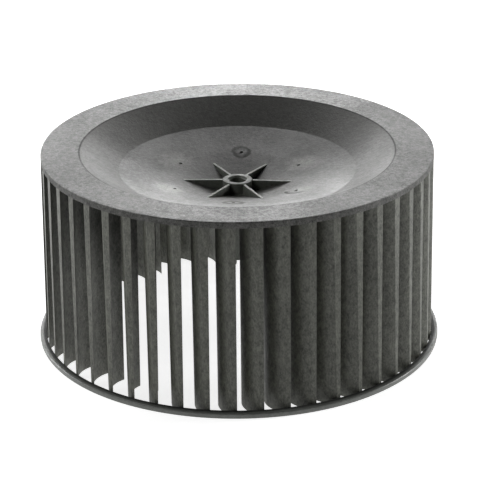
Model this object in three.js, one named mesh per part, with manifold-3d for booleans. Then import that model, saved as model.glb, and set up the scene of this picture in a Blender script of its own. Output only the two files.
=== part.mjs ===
// Blower motor wheel: a single-inlet, forward-curved centrifugal fan wheel in dark grey filled plastic.
// Units are millimetres. The wheel's axis is Z. The origin is the centre of the open (inlet) end's lower
// face, and +Z points to the hub end. The members of the moulding are separate solids, a seam apart.

import * as THREE from "three";
import { mergeVertices } from "three/addons/utils/BufferGeometryUtils.js";
import Module from "manifold-3d";

const manifold = await Module();
manifold.setup();

// Driving dimensions

const wheelHeight = 122;
const rimRadius = 120; // upper edge of the backplate
const bladeCount = 48;
const ribCount = 6;
const seam = 0.3; // gap between neighbouring members
const roundSides = 96; // facets around a large ring, two for each blade

// Backplate: flat flange, steep dish wall, shallow conical floor. Depths are below the flange's top face.
const flangeInnerRadius = 97;
const rimBandHeight = 3.9;
const rimLipHeight = 0.8; // plain lip above the band
const rimBandRadius = 120.3;
const plateThickness = 3;
const creaseRadius = 72.8; // where the dish wall meets the floor
const creaseDepth = 12.6;
const gateRadius = 42.6; // the floor steepens a little inside this circle
const gateDepth = 19.3;
const hubFloorDepth = 28;

// Hub boss with a D bore
const bossRadius = 9.1;
const bossTopDepth = 20.8;
const bossLength = 50.8;
const boreRadius = 5;
const boreFlatDistance = 4.2; // axis to the flat of the D
const boreMouthRadius = 6;
const boreMouthDepth = 1;
const boreSides = 48;

// Hub ribs: their tops start a little below the boss top and fall a little towards the dish floor
const ribThickness = 1.6;
const ribTopDepth = 21.2;
const ribEndDepth = 21.7;
const ribTipHeight = 0.5;
const ribTurn = THREE.MathUtils.degToRad(-3.6); // first rib, from +X

// Blades: a section lies between a hollow (leading) side and a rounded one. Blades are thinner and lean a
// little further at the lower end, so that the mould can draw. The lead is the angle from inner edge to tip.
const bladeFrontAngle = THREE.MathUtils.degToRad(-0.71); // leading tip corner of the first blade, from -Y
const bladeInnerRadius = 100.4;
const bladeArcSteps = 7;
const upperBlade = {
  tipRadius: 120.28,
  tipLand: 4.9,
  lead: THREE.MathUtils.degToRad(5.18),
  hollow: 4.08,
  midThickness: 2.15,
  innerThickness: 1.6,
};
const lowerBlade = {
  tipRadius: 121.48,
  tipLand: 2.2,
  lead: THREE.MathUtils.degToRad(5.74),
  hollow: 4.26,
  midThickness: 0.95,
  innerThickness: 0.66,
};

// Inlet ring, outside the blade tips
const ringInnerRadius = lowerBlade.tipRadius + seam;
const ringOuterRadius = 125.4;
const ringHeight = 3.8;
const ringRound = 0.9;

// Derived levels

const bladeTop = wheelHeight - rimBandHeight;
const bossTop = wheelHeight - bossTopDepth;
const plateHoleRadius = bossRadius + seam;

// Materials

function filledPlastic(color, roughness) {
  return new THREE.MeshStandardMaterial({ color, roughness, metalness: 0 });
}

const plateMaterial = filledPlastic(0x6f716e, 0.62);
const hubMaterial = filledPlastic(0x666865, 0.6);
const bladeMaterial = filledPlastic(0x565855, 0.58);
const ringMaterial = filledPlastic(0x3d403e, 0.42);

// Shared helpers

/** Height of the dish's upper face at radius r, between the hub and the flange. */
function dishHeight(r) {
  const stations = [
    [plateHoleRadius, hubFloorDepth],
    [gateRadius, gateDepth],
    [creaseRadius, creaseDepth],
    [flangeInnerRadius, 0],
  ];
  const outer = stations.findIndex(([radius]) => radius >= r);
  const end = Math.max(outer, 1);
  const [r0, depth0] = stations[end - 1];
  const [r1, depth1] = stations[end];
  return wheelHeight - THREE.MathUtils.mapLinear(r, r0, r1, depth0, depth1);
}

/** Height of the dish's underside at radius r. */
function undersideHeight(r) {
  return dishHeight(r) - plateThickness;
}

/** Closed ring or disc turned from [radius, z] points. LatheGeometry turns about Y, so it is stood up on Z. */
function turned(outline, sides) {
  const points = [...outline, outline[0]].map(([r, z]) => new THREE.Vector2(r, z));
  return new THREE.LatheGeometry(points, sides).rotateX(Math.PI / 2);
}

/** Position-only geometry with shared vertices. */
function welded(geometry) {
  const bare = new THREE.BufferGeometry();
  bare.setAttribute("position", geometry.getAttribute("position").clone());
  if (geometry.index) bare.setIndex(geometry.index.clone());
  return mergeVertices(bare, 1e-4);
}

/** Manifold solid of a closed geometry. */
function solid(geometry) {
  const mesh = welded(geometry);
  return new manifold.Manifold(
    new manifold.Mesh({
      numProp: 3,
      vertProperties: new Float32Array(mesh.getAttribute("position").array),
      triVerts: new Uint32Array(mesh.index.array),
    }),
  );
}

/** Geometry of a manifold solid. */
function geometryOf(shape) {
  const { vertProperties, triVerts } = shape.getMesh();
  const geometry = new THREE.BufferGeometry();
  geometry.setAttribute("position", new THREE.BufferAttribute(vertProperties, 3));
  geometry.setIndex(new THREE.BufferAttribute(triVerts, 1));
  geometry.computeVertexNormals();
  return geometry;
}

function part(name, geometry, material) {
  const mesh = new THREE.Mesh(geometry, material);
  mesh.name = name;
  return mesh;
}

// Backplate: four rings of one dished disc

function flangeGeometry() {
  const inner = flangeInnerRadius + seam;
  const lipBottom = wheelHeight - rimLipHeight;
  return turned(
    [
      [inner, bladeTop],
      [rimBandRadius, bladeTop],
      [rimBandRadius, lipBottom],
      [rimRadius, lipBottom],
      [rimRadius, wheelHeight],
      [inner, wheelHeight],
    ],
    roundSides,
  );
}

function wallGeometry() {
  const inner = creaseRadius + seam;
  const wallSlope = creaseDepth / (flangeInnerRadius - creaseRadius);
  const flangeUnderside = flangeInnerRadius - (rimBandHeight - plateThickness) / wallSlope;
  return turned(
    [
      [inner, undersideHeight(inner)],
      [flangeUnderside, bladeTop],
      [flangeInnerRadius, bladeTop],
      [flangeInnerRadius, wheelHeight],
      [inner, dishHeight(inner)],
    ],
    roundSides,
  );
}

/** Part of the shallow dish floor between two radii. */
function floorGeometry(inner, outer) {
  return turned(
    [
      [inner, undersideHeight(inner)],
      [outer, undersideHeight(outer)],
      [outer, dishHeight(outer)],
      [inner, dishHeight(inner)],
    ],
    roundSides,
  );
}

// Hub

/** Outline of the shaft bore: a circle with one flat, which faces away from +X +Y. */
function boreOutline() {
  const flatHalfAngle = Math.acos(boreFlatDistance / boreRadius);
  const outline = new THREE.Shape();
  outline.absarc(0, 0, boreRadius, flatHalfAngle, 2 * Math.PI - flatHalfAngle);
  outline.closePath();
  return outline;
}

function bossGeometry() {
  const bossBottom = bossTop - bossLength;
  const over = 1; // the cutters run this far past the faces
  const body = turned(
    [
      [0, bossBottom],
      [bossRadius, bossBottom],
      [bossRadius, bossTop],
      [0, bossTop],
    ],
    boreSides,
  );
  const bore = new THREE.ExtrudeGeometry(boreOutline(), {
    depth: bossLength + 2 * over,
    bevelEnabled: false,
    curveSegments: boreSides,
  });
  bore.rotateZ(Math.PI / 4).translate(0, 0, bossBottom - over);
  const mouthSlope = (boreMouthRadius - boreRadius) / boreMouthDepth;
  const mouth = turned(
    [
      [0, bossTop - boreMouthDepth],
      [boreRadius, bossTop - boreMouthDepth],
      [boreMouthRadius + over * mouthSlope, bossTop + over],
      [0, bossTop + over],
    ],
    boreSides,
  );
  return geometryOf(solid(body).subtract(solid(bore)).subtract(solid(mouth)));
}

/** One web in the X-Z plane, running out from the boss until the rising floor meets its top. */
function ribGeometry() {
  const floor = (r) => dishHeight(r) + seam;
  const inner = bossRadius + seam;
  const endTop = wheelHeight - ribEndDepth;
  const floorSlope = (gateDepth - hubFloorDepth) / (plateHoleRadius - gateRadius);
  const tip = inner + (endTop - ribTipHeight - floor(inner)) / floorSlope;
  const web = new THREE.Shape([
    new THREE.Vector2(inner, floor(inner)),
    new THREE.Vector2(tip, endTop - ribTipHeight),
    new THREE.Vector2(tip, endTop),
    new THREE.Vector2(inner, wheelHeight - ribTopDepth),
  ]);
  const geometry = new THREE.ExtrudeGeometry(web, { depth: ribThickness, bevelEnabled: false });
  return geometry.rotateX(Math.PI / 2).translate(0, ribThickness / 2, 0);
}

// Blades

/** Point at radius r, at an angle counted from -Y towards +X. */
function polar(r, angle) {
  return new THREE.Vector2(r * Math.sin(angle), -r * Math.cos(angle));
}

/** Points of a circular arc from start to end that bulges to the left by the sagitta. */
function bulgedArc(start, end, sagitta, steps) {
  const chord = end.clone().sub(start);
  const half = chord.length() / 2;
  const along = chord.normalize();
  const left = new THREE.Vector2(-along.y, along.x);
  const arcRadius = (half * half + sagitta * sagitta) / (2 * sagitta);
  const halfSweep = Math.asin(half / arcRadius);
  const points = [];
  for (let i = 0; i <= steps; i += 1) {
    const turn = THREE.MathUtils.mapLinear(i, 0, steps, -halfSweep, halfSweep);
    const forward = half + arcRadius * Math.sin(turn);
    const out = arcRadius * (Math.cos(turn) - Math.cos(halfSweep));
    points.push(start.clone().addScaledVector(along, forward).addScaledVector(left, out));
  }
  return points;
}

/** Section of a blade: hollow side from tip to inner edge, then the rounded side back to the tip. */
function bladeOutline({ tipRadius, tipLand, lead, hollow, midThickness, innerThickness }) {
  const leadingTip = polar(tipRadius, 0);
  const trailingTip = polar(tipRadius, -tipLand / tipRadius);
  const leadingInner = polar(bladeInnerRadius, -lead);
  const chord = leadingInner.clone().sub(leadingTip).normalize();
  const across = new THREE.Vector2(-chord.y, chord.x);
  const trailingInner = leadingInner.clone().addScaledVector(across, innerThickness);
  const tipThickness = trailingTip.clone().sub(leadingTip).dot(across);
  const rounded = hollow + midThickness - (tipThickness + innerThickness) / 2;
  const leadingSide = bulgedArc(leadingTip, leadingInner, hollow, bladeArcSteps);
  const trailingSide = bulgedArc(trailingTip, trailingInner, rounded, bladeArcSteps);
  return [...leadingSide, ...trailingSide.reverse()];
}

/** Blade drawn down from its upper section to its lower one. */
function bladeGeometry() {
  const upper = bladeOutline(upperBlade);
  const lower = bladeOutline(lowerBlade);
  const section = new THREE.Shape(upper);
  const geometry = welded(new THREE.ExtrudeGeometry(section, { depth: bladeTop - seam, bevelEnabled: false }));
  const position = geometry.getAttribute("position");
  const vertex = new THREE.Vector2();
  for (let i = 0; i < position.count; i += 1) {
    if (position.getZ(i) > seam) continue;
    vertex.fromBufferAttribute(position, i);
    const match = upper.findIndex((point) => point.distanceTo(vertex) < 1e-3);
    position.setXY(i, lower[match].x, lower[match].y);
  }
  geometry.computeVertexNormals();
  return geometry;
}

// Inlet ring

function ringGeometry() {
  return turned(
    [
      [ringInnerRadius, 0],
      [ringOuterRadius - ringRound, 0],
      [ringOuterRadius, ringRound],
      [ringOuterRadius, ringHeight - ringRound],
      [ringOuterRadius - ringRound, ringHeight - ringRound / 3],
      [ringInnerRadius, ringHeight],
    ],
    roundSides,
  );
}

// Assembly

const wheel = new THREE.Group();

const backplate = new THREE.Group();
backplate.add(part("backplate_flange", flangeGeometry(), plateMaterial));
backplate.add(part("backplate_wall", wallGeometry(), plateMaterial));
backplate.add(part("backplate_floor", floorGeometry(gateRadius + seam, creaseRadius), plateMaterial));
backplate.add(part("backplate_hub_cone", floorGeometry(plateHoleRadius, gateRadius), plateMaterial));

const hub = new THREE.Group();
hub.add(part("hub_boss", bossGeometry(), hubMaterial));
for (let i = 0; i < ribCount; i += 1) {
  const rib = part(`hub_rib_${i + 1}`, ribGeometry(), hubMaterial);
  rib.rotation.z = ribTurn + (i * 2 * Math.PI) / ribCount;
  hub.add(rib);
}

const cage = new THREE.Group();
for (let i = 0; i < bladeCount; i += 1) {
  const number = String(i + 1).padStart(2, "0");
  const blade = part(`blade_${number}`, bladeGeometry(), bladeMaterial);
  blade.rotation.z = bladeFrontAngle + (i * 2 * Math.PI) / bladeCount;
  cage.add(blade);
}
cage.add(part("inlet_ring", ringGeometry(), ringMaterial));

wheel.add(backplate, hub, cage);

export default wheel;
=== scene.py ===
"""Blower motor wheel: looks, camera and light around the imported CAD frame. Lengths are in metres."""

import math

import bmesh
import bpy
from mathutils import Matrix, Vector


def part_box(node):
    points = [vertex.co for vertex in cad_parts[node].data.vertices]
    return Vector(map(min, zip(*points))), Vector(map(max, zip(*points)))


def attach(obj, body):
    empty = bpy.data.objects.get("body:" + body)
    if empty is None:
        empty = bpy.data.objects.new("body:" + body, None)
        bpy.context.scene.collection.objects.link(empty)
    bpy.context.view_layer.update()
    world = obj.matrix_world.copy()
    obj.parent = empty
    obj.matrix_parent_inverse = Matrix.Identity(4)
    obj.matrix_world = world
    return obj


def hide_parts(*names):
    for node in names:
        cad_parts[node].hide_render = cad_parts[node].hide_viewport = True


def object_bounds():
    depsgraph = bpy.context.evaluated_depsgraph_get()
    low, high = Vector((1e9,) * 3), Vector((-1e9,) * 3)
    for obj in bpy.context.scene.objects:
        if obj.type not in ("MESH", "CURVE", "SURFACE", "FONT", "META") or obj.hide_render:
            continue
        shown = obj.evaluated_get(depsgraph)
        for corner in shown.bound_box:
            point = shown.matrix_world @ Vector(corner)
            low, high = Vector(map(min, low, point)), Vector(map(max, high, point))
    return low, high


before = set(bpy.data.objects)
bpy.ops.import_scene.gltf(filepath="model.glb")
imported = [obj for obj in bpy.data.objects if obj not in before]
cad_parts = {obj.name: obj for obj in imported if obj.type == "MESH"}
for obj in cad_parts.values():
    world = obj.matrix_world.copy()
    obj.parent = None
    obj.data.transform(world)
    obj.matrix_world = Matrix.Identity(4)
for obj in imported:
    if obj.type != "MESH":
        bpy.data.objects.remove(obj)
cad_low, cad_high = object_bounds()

MM = 0.001

# Driving dimensions, as in the CAD model

wheel_height = cad_high.z
rim_radius = 120 * MM
blade_count = 48
rib_count = 6

flange_inner_radius = 97 * MM
rim_band_radius = 120.3 * MM
rim_band_height = 3.9 * MM
rim_lip_height = 0.5 * MM
plate_thickness = 3 * MM
crease_radius = 72.8 * MM
crease_depth = 12.6 * MM
gate_radius = 42.6 * MM
gate_depth = 19.3 * MM
hub_floor_depth = 28 * MM

boss_radius = 9.1 * MM
boss_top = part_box("hub_boss")[1].z
boss_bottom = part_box("hub_boss")[0].z
bore_radius = 5 * MM
bore_flat_distance = 4.2 * MM
bore_flat_angle = math.radians(45)
bore_mouth_radius = 6 * MM
bore_mouth_depth = 1 * MM

rib_thickness = 1.6 * MM
rib_root_thickness = 2.2 * MM
rib_top_depth = 21.2 * MM
rib_end_depth = 21.7 * MM
rib_turn = math.radians(-3.6)

blade_front_angle = math.radians(-0.71)
blade_inner_radius = 100.4 * MM
blade_top = wheel_height - rim_band_height
upper_blade = dict(
    tip_radius=120.28 * MM,
    tip_land=4.9 * MM,
    lead=math.radians(5.18),
    hollow=4.08 * MM,
    mid_thickness=2.15 * MM,
    inner_thickness=1.6 * MM,
    extra_bulge=0.5 * MM,
)
lower_blade = dict(
    tip_radius=121.48 * MM,
    tip_land=2.2 * MM,
    lead=math.radians(5.74),
    hollow=4.26 * MM,
    mid_thickness=0.95 * MM,
    inner_thickness=0.66 * MM,
    extra_bulge=0.2 * MM,
)
foot_most_inset = 0.3  # share of the blade's thickness
flare_run = 0.2  # share of the section, from its tip, over which the fillet at the plate grows

ring_inner_radius = lower_blade["tip_radius"] - 0.1 * MM
ring_outer_radius = cad_high.x
ring_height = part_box("inlet_ring")[1].z

gate_pitch = 2 * math.pi / rib_count
gate_first_angle = rib_turn + math.pi / 2
gate_pit_radius = 1.3 * MM
gate_pit_depth = 0.8 * MM
gate_nib_radius = 0.1 * MM
full_dial_gates = (0, 3)
half_dial_gate = 4
half_dial_side = Vector((-0.78, -0.62))
dial_inner_radius = 4.2 * MM
dial_outer_radius = 6.4 * MM
dial_depth = 0.16 * MM
dial_darkness = 0.35
half_dial_darkness = 1.9 * dial_darkness
# Pale patch round the gates: partly a real moulding mark, partly a painted sheen
blush_sheen_offset = 3 * MM
blush_sheen_reach = 14 * MM
blush_sheen_strength = 1.5

# Mesh helpers


def new_piece(name, mesh, material, slot, *nodes):
    """A finished piece of the wheel, which stands for the named CAD nodes."""
    piece = bpy.data.objects.new(name, mesh)
    bpy.context.scene.collection.objects.link(piece)
    mesh.materials.append(material)
    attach(piece, "root")
    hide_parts(*nodes)
    return piece


def mesh_of(name, points, faces, sharp_angle):
    """A closed mesh with outward faces, shaded smooth below the sharp angle."""
    shape = bmesh.new()
    verts = [shape.verts.new(p) for p in points]
    for face in faces:
        shape.faces.new([verts[i] for i in face])
    bmesh.ops.recalc_face_normals(shape, faces=shape.faces)
    mesh = bpy.data.meshes.new(name)
    shape.to_mesh(mesh)
    shape.free()
    mesh.shade_smooth()
    mesh.set_sharp_from_angle(angle=sharp_angle)
    return mesh


def filleted(corners):
    """Closed outline through (r, z, fillet radius) corners, each corner rounded by an arc."""
    steps = 6
    outline = []
    for i, (r, z, fillet) in enumerate(corners):
        corner = Vector((r, z))
        if fillet == 0:
            outline.append(corner)
            continue
        before = Vector(corners[i - 1][:2]) - corner
        after = Vector(corners[(i + 1) % len(corners)][:2]) - corner
        half = before.angle(after) / 2
        reach = fillet / math.tan(half)
        inward = (before.normalized() + after.normalized()).normalized()
        centre = corner + inward * (fillet / math.sin(half))
        first = corner + before.normalized() * reach - centre
        last = corner + after.normalized() * reach - centre
        sweep = first.angle_signed(last)
        for step in range(steps + 1):
            turned = Matrix.Rotation(-sweep * step / steps, 2) @ first
            outline.append(centre + turned)
    return outline


def divided(outline, longest):
    """Outline with extra points on its long straight runs."""
    points = []
    for i, start in enumerate(outline):
        end = outline[(i + 1) % len(outline)]
        parts = max(1, math.ceil((end - start).length / longest))
        points += [start.lerp(end, part / parts) for part in range(parts)]
    return points


def bridged(count, gaps, closed=False):
    """Faces between closed outlines in a row, each with count points. A closed row meets its own start."""
    faces = []
    for gap in range(gaps):
        here = gap * count
        there = (gap + 1) * count
        if closed and gap == gaps - 1:
            there = 0
        for i in range(count):
            j = (i + 1) % count
            faces.append((here + i, here + j, there + j, there + i))
    return faces


def revolved(name, outline, sides, sharp_angle):
    """Mesh of a closed (r, z) outline turned about the wheel's axis."""
    points = []
    for side in range(sides):
        angle = 2 * math.pi * side / sides
        points += [(r * math.cos(angle), r * math.sin(angle), z) for r, z in outline]
    return mesh_of(name, points, bridged(len(outline), sides, closed=True), sharp_angle)


def cut(piece, cutter):
    """Takes the cutter's solid away from the piece, for good."""
    modifier = piece.modifiers.new("cut", "BOOLEAN")
    modifier.operation = "DIFFERENCE"
    modifier.solver = "EXACT"
    modifier.object = cutter
    bpy.context.view_layer.update()
    graph = bpy.context.evaluated_depsgraph_get()
    mesh = bpy.data.meshes.new_from_object(piece.evaluated_get(graph))
    piece.modifiers.clear()
    piece.data = mesh
    bpy.data.objects.remove(cutter)


# Dish shape


def dish_height(r):
    """Height of the plate's upper face between the hub and the flange."""
    stations = [
        (boss_radius, hub_floor_depth),
        (gate_radius, gate_depth),
        (crease_radius, crease_depth),
        (flange_inner_radius, 0),
    ]
    for (r0, depth0), (r1, depth1) in zip(stations, stations[1:]):
        if r <= r1:
            break
    return wheel_height - depth0 - (depth1 - depth0) * (r - r0) / (r1 - r0)


def dish_slope(r):
    step = 0.1 * MM
    return (dish_height(r + step) - dish_height(r - step)) / (2 * step)


# Materials

# Scales of the plastic's patterns, in noise cells per metre
cloud_scale = 38.0
fibre_scale = 300.0
mottle_scale = 380.0
speck_scale = 1100.0


class NodeTree:
    """Short names for building a material's nodes."""

    def __init__(self, name):
        self.material = bpy.data.materials.new(name)
        self.material.use_nodes = True
        self.tree = self.material.node_tree
        self.shader = self.tree.nodes["Principled BSDF"]
        self.place = self.node("ShaderNodeTexCoord").outputs["Object"]

    def put(self, socket, value):
        if isinstance(value, bpy.types.NodeSocket):
            self.tree.links.new(value, socket)
        else:
            socket.default_value = value

    def node(self, kind, inputs=(), **settings):
        made = self.tree.nodes.new(kind)
        for key, value in settings.items():
            setattr(made, key, value)
        for key, value in dict(inputs).items():
            self.put(made.inputs[key], value)
        return made

    def math(self, operation, *values):
        return self.node("ShaderNodeMath", dict(enumerate(values)), operation=operation).outputs[0]

    def noise(self, vector, scale, detail=2.0, roughness=0.6):
        inputs = {"Vector": vector, "Scale": scale, "Detail": detail, "Roughness": roughness}
        return self.node("ShaderNodeTexNoise", inputs).outputs["Fac"]

    def product(self, first, *others):
        for other in others:
            first = self.math("MULTIPLY", first, other)
        return first

    def distance(self, a, b):
        return self.math("SQRT", self.math("ADD", self.product(a, a), self.product(b, b)))

    def ramp(self, value, low, high, at_low=0.0, at_high=1.0):
        """Smooth step from one value to another while the input goes from low to high."""
        ends = {"From Min": low, "From Max": high, "To Min": at_low, "To Max": at_high}
        made = self.node("ShaderNodeMapRange", {"Value": value, **ends}, interpolation_type="SMOOTHSTEP")
        return made.outputs[0]

    def stretched(self, vector, factors):
        made = self.node("ShaderNodeVectorMath", {0: vector, 1: factors}, operation="MULTIPLY")
        return made.outputs[0]

    def tinted(self, colour, factor):
        """Colour times a number."""
        made = self.node("ShaderNodeVectorMath", {0: colour, "Scale": factor}, operation="SCALE")
        return made.outputs[0]

    def around_axis(self):
        """Distance from the wheel's axis, angle from +X and height."""
        x, y, z = self.node("ShaderNodeSeparateXYZ", {0: self.place}).outputs
        return self.distance(x, y), self.math("ARCTAN2", y, x), z


def fibres(nodes, place, scale):
    """Short thin strands: where one noise crosses its middle value, cut up by another."""
    ridge = nodes.math("ABSOLUTE", nodes.math("SUBTRACT", nodes.noise(place, scale, 1.0), 0.5))
    strand = nodes.ramp(ridge, 0.0, 0.03, 1.0, 0.0)
    return nodes.product(strand, nodes.ramp(nodes.noise(place, scale * 2.3, 1.0), 0.48, 0.6))


def filled_plastic(name, colour, roughness, contrast, relief, shading, grain=(1, 1, 1), speckle=None):
    """Matt mineral-filled plastic: cloudy melt flow, mottling, fine grain and short glass fibres.

    Shading is a factor on the colour, painted light and shade among it, and speckle one on the fine grain,
    each made from the place on the wheel. Grain stretches the pattern. What is shaded dark is also rougher.
    """
    nodes = NodeTree(name)
    place = nodes.stretched(nodes.place, grain)
    cloud = nodes.noise(place, cloud_scale)
    mottle = nodes.noise(place, mottle_scale, 2.0, 0.65)
    speck = nodes.noise(place, speck_scale, 1.0)
    strands = fibres(nodes, place, fibre_scale)
    shade = shading(nodes)

    grit = nodes.math("SUBTRACT", nodes.math("ADD", mottle, speck), 1.0)
    grit = nodes.product(grit, 2.6 * contrast)
    if speckle:
        grit = nodes.product(grit, speckle(nodes))
    tone = nodes.math("MULTIPLY_ADD", nodes.math("SUBTRACT", cloud, 0.5), 1.2 * contrast, 1.0)
    tone = nodes.math("MULTIPLY_ADD", strands, 0.5 * contrast, nodes.math("ADD", tone, grit))
    nodes.put(nodes.shader.inputs["Base Color"], nodes.tinted(colour, nodes.product(tone, shade)))

    spread = 0.06
    gloss = nodes.math("ADD", mottle, cloud)
    gloss = nodes.ramp(gloss, 0.7, 1.3, roughness + spread, roughness - spread)
    gloss = nodes.math("ADD", gloss, nodes.ramp(shade, 0.4, 1.0, 0.3, 0.0))
    nodes.put(nodes.shader.inputs["Roughness"], gloss)

    height = nodes.math("MULTIPLY_ADD", strands, 0.2, mottle)
    height = nodes.math("MULTIPLY_ADD", speck, 0.45, height)
    bump = nodes.node("ShaderNodeBump", {"Height": height, "Distance": relief})
    nodes.put(nodes.shader.inputs["Normal"], bump.outputs[0])
    return nodes.material


def gate_angle(number):
    return gate_first_angle + number * gate_pitch


def from_gates(nodes, count, first):
    """Offset outwards and along the gate circle from the nearest of some evenly spaced gates."""
    radius, angle, _ = nodes.around_axis()
    pitch = 2 * math.pi / count
    turned = nodes.math("WRAP", nodes.math("SUBTRACT", angle, gate_angle(first)), pitch / 2, -pitch / 2)
    return nodes.math("SUBTRACT", radius, gate_radius), nodes.product(turned, gate_radius)


def dial_band(nodes, from_gate):
    """Soft ring at the date dials' distance from a gate."""
    inside = nodes.ramp(from_gate, dial_inner_radius - 2.2 * MM, dial_inner_radius + 0.8 * MM)
    outside = nodes.ramp(from_gate, dial_outer_radius - 0.6 * MM, dial_outer_radius + 0.8 * MM, 1, 0)
    return nodes.product(inside, outside)


def gate_blush_and_painted_sheen(nodes, ragged, to_full_dial):
    """Pale ragged patch just outside each gate that has no full dial: partly a real moulding mark, partly a
    painted sheen.
    """
    out, along = from_gates(nodes, rib_count, 0)
    blush_sheen = nodes.distance(nodes.math("SUBTRACT", out, blush_sheen_offset), along)
    blush_sheen = nodes.math("MULTIPLY_ADD", ragged, 14 * MM, blush_sheen)
    blush_sheen = nodes.ramp(blush_sheen, 1 * MM, blush_sheen_reach, blush_sheen_strength, 0.0)
    blush_sheen = nodes.product(blush_sheen, nodes.ramp(to_full_dial, 10 * MM, 25 * MM))
    return nodes.math("ADD", blush_sheen, 1.0)


def dark_dials(nodes, ragged, to_full_dial):
    """Two ragged dark dials, and half of one beside a third gate."""
    full = dial_band(nodes, nodes.math("MULTIPLY_ADD", ragged, 5 * MM, to_full_dial))
    out, along = from_gates(nodes, 1, half_dial_gate)
    half = dial_band(nodes, nodes.math("SUBTRACT", nodes.distance(out, along), 1 * MM))
    half = nodes.product(half, nodes.ramp(along, -4 * MM, 0.0, half_dial_darkness, 0.0))
    darkest = nodes.math("MAXIMUM", nodes.product(full, dial_darkness), half)
    return nodes.math("SUBTRACT", 1.0, darkest)


def flange_line(nodes, radius):
    """Thin darker line where the dish meets the flange."""
    line_radius = flange_inner_radius - 0.2 * MM
    off_line = nodes.math("ABSOLUTE", nodes.math("SUBTRACT", radius, line_radius))
    return nodes.ramp(off_line, 0.2 * MM, 0.8 * MM, 0.55, 1.0)


def rim_face(nodes, radius, height):
    """The outer face of the rim is painted darker and made rougher than the flange on top of it."""
    dull = 0.5
    on_top = nodes.ramp(height, wheel_height - 0.5 * MM, wheel_height - 0.2 * MM, dull, 1.0)
    inside = nodes.ramp(radius, rim_radius - 1 * MM, rim_radius - 0.5 * MM, 1.0, dull)
    return nodes.math("MAXIMUM", on_top, inside)


def plate_shading(nodes):
    """Everything that makes the plate paler or darker, as one factor, the painted sheen round the gates
    among it.
    """
    radius, _, height = nodes.around_axis()
    ragged = nodes.math("SUBTRACT", nodes.noise(nodes.place, 150.0, 3.0), 0.5)
    to_full_dial = nodes.distance(*from_gates(nodes, len(full_dial_gates), full_dial_gates[0]))
    return nodes.product(
        gate_blush_and_painted_sheen(nodes, ragged, to_full_dial),
        dark_dials(nodes, ragged, to_full_dial),
        flange_line(nodes, radius),
        rim_face(nodes, radius, height),
    )


def flange_speckle(nodes):
    """The flat flange is coarser than the dish."""
    radius, _, _ = nodes.around_axis()
    return nodes.ramp(radius, flange_inner_radius - 1 * MM, flange_inner_radius + 1 * MM, 0.8, 2.5)


def hub_painted_top_light(nodes):
    """Painted highlight: upward faces are painted paler where light falls on them, the rib tops more than
    the boss top.
    """
    normal = nodes.node("ShaderNodeTexCoord").outputs["Normal"]
    lit_upward = nodes.ramp(nodes.node("ShaderNodeSeparateXYZ", {0: normal}).outputs[2], 0.6, 0.95)
    radius, _, _ = nodes.around_axis()
    top_highlight = nodes.ramp(radius, boss_radius, boss_radius + 0.5 * MM, 0.1, 2.0)
    return nodes.math("MULTIPLY_ADD", lit_upward, top_highlight, 1.65)


def blade_painted_shade(nodes):
    """Painted shade: blades are painted darker inwards from their tips, most of all up near the plate, deep
    in the shaded hollows.
    """
    radius, _, height = nodes.around_axis()
    # How dark the inner part is painted as shade: darkest up near the plate
    inner = nodes.ramp(height, 0.3 * blade_top, blade_top, 0.95, 0.5)
    return nodes.ramp(radius, 105 * MM, 117 * MM, inner, 1.0)


def ring_painted_shade_and_light(nodes):
    """Painted shadow darkens the ring's inner top edge, and a painted sheen makes its outside lighter."""
    radius, _, _ = nodes.around_axis()
    return nodes.ramp(radius, ring_inner_radius + 1.2 * MM, ring_inner_radius + 3 * MM, 0.3, 1.15)


plate_plastic = filled_plastic(
    "plate_plastic",
    colour=(0.127, 0.127, 0.119),
    roughness=0.42,
    contrast=0.35,
    relief=0.16 * MM,
    shading=plate_shading,
    speckle=flange_speckle,
)
hub_plastic = filled_plastic(
    "hub_plastic",
    colour=(0.103, 0.11, 0.096),
    roughness=0.42,
    contrast=0.25,
    relief=0.08 * MM,
    shading=hub_painted_top_light,
)
blade_plastic = filled_plastic(
    "blade_plastic",
    colour=(0.088, 0.091, 0.075),
    roughness=0.5,
    contrast=0.62,
    relief=0.14 * MM,
    shading=blade_painted_shade,
    grain=(1, 1, 0.6),
)
ring_plastic = filled_plastic(
    "ring_plastic",
    colour=(0.138, 0.144, 0.134),
    roughness=0.36,
    contrast=0.2,
    relief=0.03 * MM,
    shading=ring_painted_shade_and_light,
)

# Backplate


def backplate_outline():
    """Upper face from the hub outwards, the rim, then the underside back to the hub."""
    top = wheel_height
    wall_slope = crease_depth / (flange_inner_radius - crease_radius)
    underside_corner = flange_inner_radius - (rim_band_height - plate_thickness) / wall_slope
    hub_hole = boss_radius - 0.2 * MM

    def under(r):
        return dish_height(r) - plate_thickness

    corners = [
        (hub_hole, dish_height(boss_radius), 0),
        (gate_radius, dish_height(gate_radius), 20 * MM),
        (crease_radius, dish_height(crease_radius), 4 * MM),
        (flange_inner_radius, top, 0.8 * MM),
        (rim_radius, top, 0.2 * MM),
        (rim_band_radius, top - rim_lip_height, 0.3 * MM),
        (rim_band_radius, blade_top, 0.15 * MM),
        (underside_corner, blade_top, 2 * MM),
        (crease_radius, under(crease_radius), 7 * MM),
        (gate_radius, under(gate_radius), 20 * MM),
        (hub_hole, under(boss_radius), 0),
    ]
    return filleted(corners)


def gate_pit(number):
    """Cutter for a sunk gate scar, stood square on the dish. It leaves a thin nib in the middle."""
    outline = [
        (gate_nib_radius, -gate_pit_depth),
        (gate_pit_radius * 0.8, -gate_pit_depth),
        (gate_pit_radius, 1 * MM),
        (gate_nib_radius, 1 * MM),
    ]
    mesh = revolved("gate_cutter", outline, 24, math.radians(35))
    cutter = bpy.data.objects.new("gate_cutter", mesh)
    bpy.context.scene.collection.objects.link(cutter)
    lean = math.atan(dish_slope(gate_radius + 0.5 * MM))
    on_dish = Matrix.Translation((gate_radius, 0, dish_height(gate_radius)))
    turn = Matrix.Rotation(gate_angle(number), 4, "Z")
    mesh.transform(turn @ on_dish @ Matrix.Rotation(-lean, 4, "Y"))
    return cutter


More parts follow.
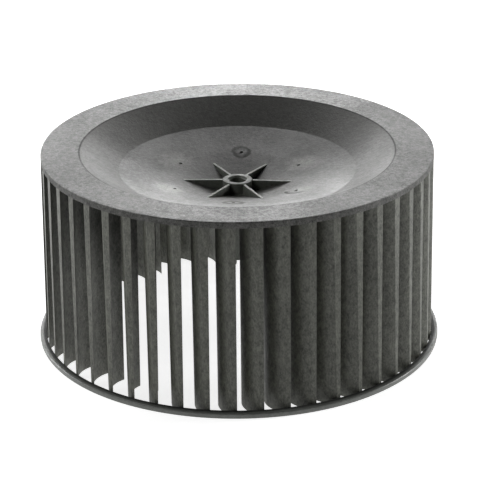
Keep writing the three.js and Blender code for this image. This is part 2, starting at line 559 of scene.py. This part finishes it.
def press_dial(mesh, number, side=None):
    """Presses the shallow ring of a date dial into the dish round a gate, or only towards one side of it."""
    middle = (dial_inner_radius + dial_outer_radius) / 2
    half_width = (dial_outer_radius - dial_inner_radius) / 2
    angle = gate_angle(number)
    gate = Vector((gate_radius * math.cos(angle), gate_radius * math.sin(angle)))
    for vertex in mesh.vertices:
        offset = vertex.co.xy - gate
        off_ring = abs(offset.length - middle) / half_width
        on_underside = vertex.co.z < dish_height(vertex.co.xy.length) - plate_thickness / 2
        if off_ring > 1 or on_underside:
            continue
        depth = dial_depth * (1 + math.cos(math.pi * off_ring)) / 2
        if side is not None:
            depth *= max(0, offset.normalized().dot(side)) ** 2
        vertex.co.z -= depth


def make_backplate():
    outline = divided(backplate_outline(), 1.2 * MM)
    mesh = revolved("backplate_moulded", outline, 360, math.radians(30))
    for number in full_dial_gates:
        press_dial(mesh, number)
    press_dial(mesh, half_dial_gate, half_dial_side)
    rings = ("backplate_flange", "backplate_wall", "backplate_floor", "backplate_hub_cone")
    plate = new_piece("backplate_moulded", mesh, plate_plastic, "plate_plastic", *rings)
    for number in range(rib_count):
        cut(plate, gate_pit(number))
    plate.data.set_sharp_from_angle(angle=math.radians(30))


# Hub


def bore_radius_at(angle, radius):
    """Radius of the D bore's wall at this angle: round, but for the flat."""
    off = (angle - bore_flat_angle + math.pi) % (2 * math.pi) - math.pi
    if abs(off) < math.pi / 2:
        return min(radius, bore_flat_distance / math.cos(off))
    return radius


def make_boss():
    """Boss as a stack of loops: up the outside, over the mouth and down the D bore."""
    sides = 96
    edge = 0.25 * MM
    foot = 1 * MM
    bore_edge = 0.3 * MM
    top_root = dish_height(boss_radius)
    low_root = top_root - plate_thickness
    bore_top = boss_top - bore_mouth_depth
    loops = [
        (boss_radius - edge, boss_bottom, False),
        (boss_radius, boss_bottom + edge, False),
        (boss_radius, low_root - foot, False),
        (boss_radius + 0.3 * foot, low_root - 0.3 * foot, False),
        (boss_radius + foot, low_root + 0.2 * foot, False),
        (boss_radius + foot, top_root - 0.1 * foot, False),
        (boss_radius + 0.3 * foot, top_root + 0.35 * foot, False),
        (boss_radius + 0.05 * foot, top_root + foot, False),
        (boss_radius, boss_top - edge, False),
        (boss_radius - 0.3 * edge, boss_top - 0.3 * edge, False),
        (boss_radius - edge, boss_top, False),
        (bore_mouth_radius, boss_top, False),
        (bore_radius + 0.5 * bore_edge, bore_top, False),
        (bore_radius, bore_top - 0.1 * MM, True),
        (bore_radius, boss_bottom + bore_edge, True),
        (bore_radius + bore_edge, boss_bottom, True),
    ]
    points = []
    for radius, z, flatted in loops:
        for side in range(sides):
            angle = 2 * math.pi * side / sides
            r = bore_radius_at(angle, radius) if flatted else radius
            points.append((r * math.cos(angle), r * math.sin(angle), z))
    faces = bridged(sides, len(loops), closed=True)
    mesh = mesh_of("hub_boss_moulded", points, faces, math.radians(30))
    new_piece("hub_boss_moulded", mesh, hub_plastic, "hub_plastic", "hub_boss")


def rib_outline(r, top):
    """Upright section across a rib at this radius, wider at its root and with a softened top edge."""
    edge = 0.15 * MM
    sunk = 0.3 * MM
    full_draft_height = 6 * MM
    low = dish_height(r) - sunk
    draft = min(1, (top - low) / full_draft_height)
    half_top = rib_thickness / 2
    half_low = half_top + (rib_root_thickness - rib_thickness) / 2 * draft
    shoulder = max(top - edge, low + sunk / 2)
    softened = top - 0.3 * (top - shoulder)
    return [
        (r, -half_low, low),
        (r, half_low, low),
        (r, half_top, shoulder),
        (r, half_top - 0.3 * edge, softened),
        (r, half_top - edge, top),
        (r, -half_top + edge, top),
        (r, -half_top + 0.3 * edge, softened),
        (r, -half_top, shoulder),
    ]


def make_rib(number):
    """Web that runs into the boss and ends where its top meets the rising dish floor."""
    inner = boss_radius - 0.3 * MM
    inner_top = wheel_height - rib_top_depth
    end_top = wheel_height - rib_end_depth
    outer = boss_radius + 2 * MM
    while dish_height(outer) < end_top - 0.05 * MM:
        outer += 0.2 * MM
    stations = 16
    turn = Matrix.Rotation(rib_turn + 2 * math.pi * (number - 1) / rib_count, 3, "Z")
    points = []
    for step in range(stations + 1):
        share = step / stations
        outline = rib_outline(inner + (outer - inner) * share, inner_top + (end_top - inner_top) * share)
        points += [turn @ Vector(p) for p in outline]
    count = len(outline)
    faces = bridged(count, stations)
    faces.append(tuple(range(count)))
    faces.append(tuple(stations * count + i for i in range(count)))
    name = f"hub_rib_{number}"
    mesh = mesh_of(name + "_moulded", points, faces, math.radians(40))
    new_piece(name + "_moulded", mesh, hub_plastic, "hub_plastic", name)


# Blades


def from_front(r, angle):
    """Point at radius r, at an angle counted from -Y towards +X."""
    return Vector((r * math.sin(angle), -r * math.cos(angle)))


def bulged_arc(start, end, sagitta, steps):
    """Points of an arc from start to end that bulges to the left by the sagitta."""
    chord = end - start
    half = chord.length / 2
    along = chord.normalized()
    left = Vector((-along.y, along.x))
    radius = (half * half + sagitta * sagitta) / (2 * sagitta)
    half_sweep = math.asin(half / radius)
    points = []
    for i in range(steps + 1):
        turn = half_sweep * (2 * i / steps - 1)
        out = radius * (math.cos(turn) - math.cos(half_sweep))
        points.append(start + along * (half + radius * math.sin(turn)) + left * out)
    return points


def blade_sides(tip_radius, tip_land, lead, hollow, mid_thickness, inner_thickness, extra_bulge, steps):
    """The hollow side and the rounded side of a blade section, each from tip to inner edge."""
    leading_tip = from_front(tip_radius, 0)
    trailing_tip = from_front(tip_radius, -tip_land / tip_radius)
    leading_inner = from_front(blade_inner_radius, -lead)
    chord = (leading_inner - leading_tip).normalized()
    across = Vector((-chord.y, chord.x))
    trailing_inner = leading_inner + across * inner_thickness
    tip_thickness = (trailing_tip - leading_tip).dot(across)
    rounded = hollow + mid_thickness + extra_bulge - (tip_thickness + inner_thickness) / 2
    return (
        bulged_arc(leading_tip, leading_inner, hollow, steps),
        bulged_arc(trailing_tip, trailing_inner, rounded, steps),
    )


def blade_nose(last_leading, before_it, last_trailing):
    """Half circle that closes the section round its inner edge."""
    middle = (last_leading + last_trailing) / 2
    across = last_leading - middle
    inward = (last_leading - before_it).normalized() * across.length
    angles = [math.pi * share for share in (0.25, 0.5, 0.75)]
    return [middle + across * math.cos(angle) + inward * math.sin(angle) for angle in angles]


def blade_outline(share, pinch, swell, steps):
    """Outline of the section at a share of the height, drawn in at the lower end and flared at the plate."""
    section = {k: lower_blade[k] + (upper_blade[k] - lower_blade[k]) * share for k in upper_blade}
    leading, trailing = [], []
    for i, (a, b) in enumerate(zip(*blade_sides(**section, steps=steps))):
        across = b - a
        inset = min(pinch / across.length, foot_most_inset)
        flare = swell * min(1.0, i / steps / flare_run)
        unit = across.normalized()
        leading.append(a + across * inset - unit * flare)
        trailing.append(b - across * inset + unit * flare)
    nose = blade_nose(leading[-1], leading[-2], trailing[-1])
    land = [trailing[0].lerp(leading[0], t).normalized() * section["tip_radius"] for t in (1 / 3, 2 / 3)]
    return leading + nose + trailing[::-1] + land


def blade_levels():
    """Height, pinch and swell of each outline, from the softened foot to the fillet sunk in the plate."""
    edge = 0.22 * MM
    fillet = 0.8 * MM
    sunk = 0.2 * MM
    body_top = blade_top - fillet
    body_steps = 8
    fillet_steps = 4
    levels = [(0.0, edge, 0.0), (0.3 * edge, 0.3 * edge, 0.0), (edge, 0.0, 0.0)]
    for i in range(1, body_steps + 1):
        levels.append((edge + (body_top - edge) * i / body_steps, 0.0, 0.0))
    for i in range(1, fillet_steps + 1):
        turn = math.pi / 2 * i / fillet_steps
        levels.append((body_top + fillet * math.sin(turn), 0.0, fillet * (1 - math.cos(turn))))
    levels.append((blade_top + sunk, 0.0, fillet))
    return levels


def make_blade(number):
    steps = 20
    levels = blade_levels()
    angle = blade_front_angle + 2 * math.pi * (number - 1) / blade_count
    turn = Matrix.Rotation(angle, 3, "Z")
    points = []
    for z, pinch, swell in levels:
        outline = blade_outline(z / blade_top, pinch, swell, steps)
        points += [turn @ Vector((p.x, p.y, z)) for p in outline]
    count = len(outline)
    faces = bridged(count, len(levels) - 1)
    trailing_tip = 2 * steps + 4
    for base in (0, (len(levels) - 1) * count):
        for i in range(steps):
            across = base + trailing_tip - i
            faces.append((base + i, base + i + 1, across - 1, across))
        faces.append(tuple(base + i for i in range(steps, steps + 5)))
        faces.append((base,) + tuple(base + i for i in range(trailing_tip, count)))
    name = f"blade_{number:02d}"
    mesh = mesh_of(name + "_moulded", points, faces, math.radians(20))
    new_piece(name + "_moulded", mesh, blade_plastic, "blade_plastic", name)


# Inlet ring


def make_ring():
    inner_round = 0.3 * MM
    top_fall = 0.3 * MM
    corners = [
        (ring_inner_radius, 0, inner_round),
        (ring_outer_radius, 0, 0.8 * MM),
        (ring_outer_radius, ring_height - top_fall, 1.1 * MM),
        (ring_inner_radius, ring_height, inner_round),
    ]
    mesh = revolved("inlet_ring_moulded", filleted(corners), 288, math.radians(30))
    new_piece("inlet_ring_moulded", mesh, ring_plastic, "ring_plastic", "inlet_ring")


# Studio

light_distance = 1.35


def make_floor():
    """Pale studio table that glows like a light table, and looks a little paler than it glows."""
    half = 8.0
    glow = 0.66
    seen_glow = 0.16
    corners = [(-half, -half, 0), (half, -half, 0), (half, half, 0), (-half, half, 0)]
    mesh = bpy.data.meshes.new("studio_floor")
    mesh.from_pydata(corners, [], [(0, 1, 2, 3)])
    floor = bpy.data.objects.new("studio_floor", mesh)
    floor.location.z = -0.1 * MM
    bpy.context.scene.collection.objects.link(floor)
    nodes = NodeTree("studio_floor")
    nodes.shader.inputs["Base Color"].default_value = (0.85, 0.85, 0.85, 1)
    nodes.shader.inputs["Roughness"].default_value = 0.9
    nodes.shader.inputs["Specular IOR Level"].default_value = 0.1
    nodes.shader.inputs["Emission Color"].default_value = (1, 1, 1, 1)
    seen = nodes.node("ShaderNodeLightPath").outputs["Is Camera Ray"]
    nodes.put(nodes.shader.inputs["Emission Strength"], nodes.math("MULTIPLY_ADD", seen, seen_glow, glow))
    mesh.materials.append(nodes.material)


def softbox(name, azimuth, elevation, size, power):
    """Panel light aimed at the wheel. Azimuth in degrees from straight behind towards the right."""
    data = bpy.data.lights.new(name, "AREA")
    data.shape = "RECTANGLE"
    data.size, data.size_y = size
    data.energy = power
    lamp = bpy.data.objects.new(name, data)
    around = math.radians(azimuth)
    up = math.radians(elevation)
    level = Vector((math.sin(around), math.cos(around), 0))
    direction = level * math.cos(up) + Vector((0, 0, math.sin(up)))
    lamp.location = direction * light_distance + Vector((0, 0, wheel_height / 2))
    lamp.rotation_euler = direction.to_track_quat("Z", "Y").to_euler()
    lamp.visible_camera = False
    bpy.context.scene.collection.objects.link(lamp)


def make_light():
    """White studio: panels in an arc behind the wheel, a strong one at the right and weak fill at left."""
    world = bpy.data.worlds.new("studio")
    bpy.context.scene.world = world
    world.use_nodes = True
    background = world.node_tree.nodes["Background"]
    background.inputs["Color"].default_value = (0.9, 0.9, 0.9, 1)
    seen = world.node_tree.nodes.new("ShaderNodeLightPath")
    world.node_tree.links.new(seen.outputs["Is Camera Ray"], background.inputs["Strength"])
    spot, strip, wide = (0.26, 0.24), (0.85, 0.2), (0.4, 0.35)
    for name, azimuth, elevation, size, power in (
        ("back_centre", 0, 13, spot, 2.2),
        ("back_low_left", -15, 16, spot, 1.2),
        ("back_low_right", 15, 16, spot, 0.9),
        ("back_middle", 0, 28, strip, 1.75),
        ("back_high", 0, 42, strip, 2.1),
        ("left_back", -30, 15, spot, 2.2),
        ("left_back_high", -45, 28, spot, 1.3),
        ("left_back_low", -60, 6, spot, 5.5),
        ("right_back", 30, 13, spot, 3.3),
        ("right", 80, 10, wide, 12.0),
        ("left", -80, 10, wide, 3.0),
        ("front_left", -110, 40, wide, 2.6),
    ):
        softbox(name, azimuth, elevation, size, power)


def make_camera():
    """Long lens in front of the wheel, a little over 20 degrees above it."""
    distance = 1.38736
    elevation = math.radians(22.919)
    yaw, pitch, roll = (math.radians(a) for a in (0.046, -0.283, 0.567))
    aim = Vector((0, 0, wheel_height / 2))
    away = Vector((0, -math.cos(elevation), math.sin(elevation)))
    forward = -away
    right = Vector((1, 0, 0))
    up = right.cross(forward)
    axes = Matrix((right, up, forward))
    turn_yaw = Matrix.Rotation(-yaw, 3, "Y")
    turn_pitch = Matrix.Rotation(pitch, 3, "X")
    turn_roll = Matrix.Rotation(roll, 3, "Z")
    axes = turn_roll @ turn_pitch @ turn_yaw @ axes
    data = bpy.data.cameras.new("camera")
    data.sensor_width = 36
    data.lens = 160.2
    camera = bpy.data.objects.new("camera", data)
    pose = Matrix((axes[0], axes[1], -axes[2])).transposed().to_4x4()
    camera.matrix_world = Matrix.Translation(aim + away * distance) @ pose
    bpy.context.scene.collection.objects.link(camera)
    bpy.context.scene.camera = camera


make_camera()
make_floor()
make_light()
bpy.context.scene.view_settings.view_transform = "Standard"

make_backplate()
make_boss()
for rib in range(1, rib_count + 1):
    make_rib(rib)
for blade in range(1, blade_count + 1):
    make_blade(blade)
make_ring()
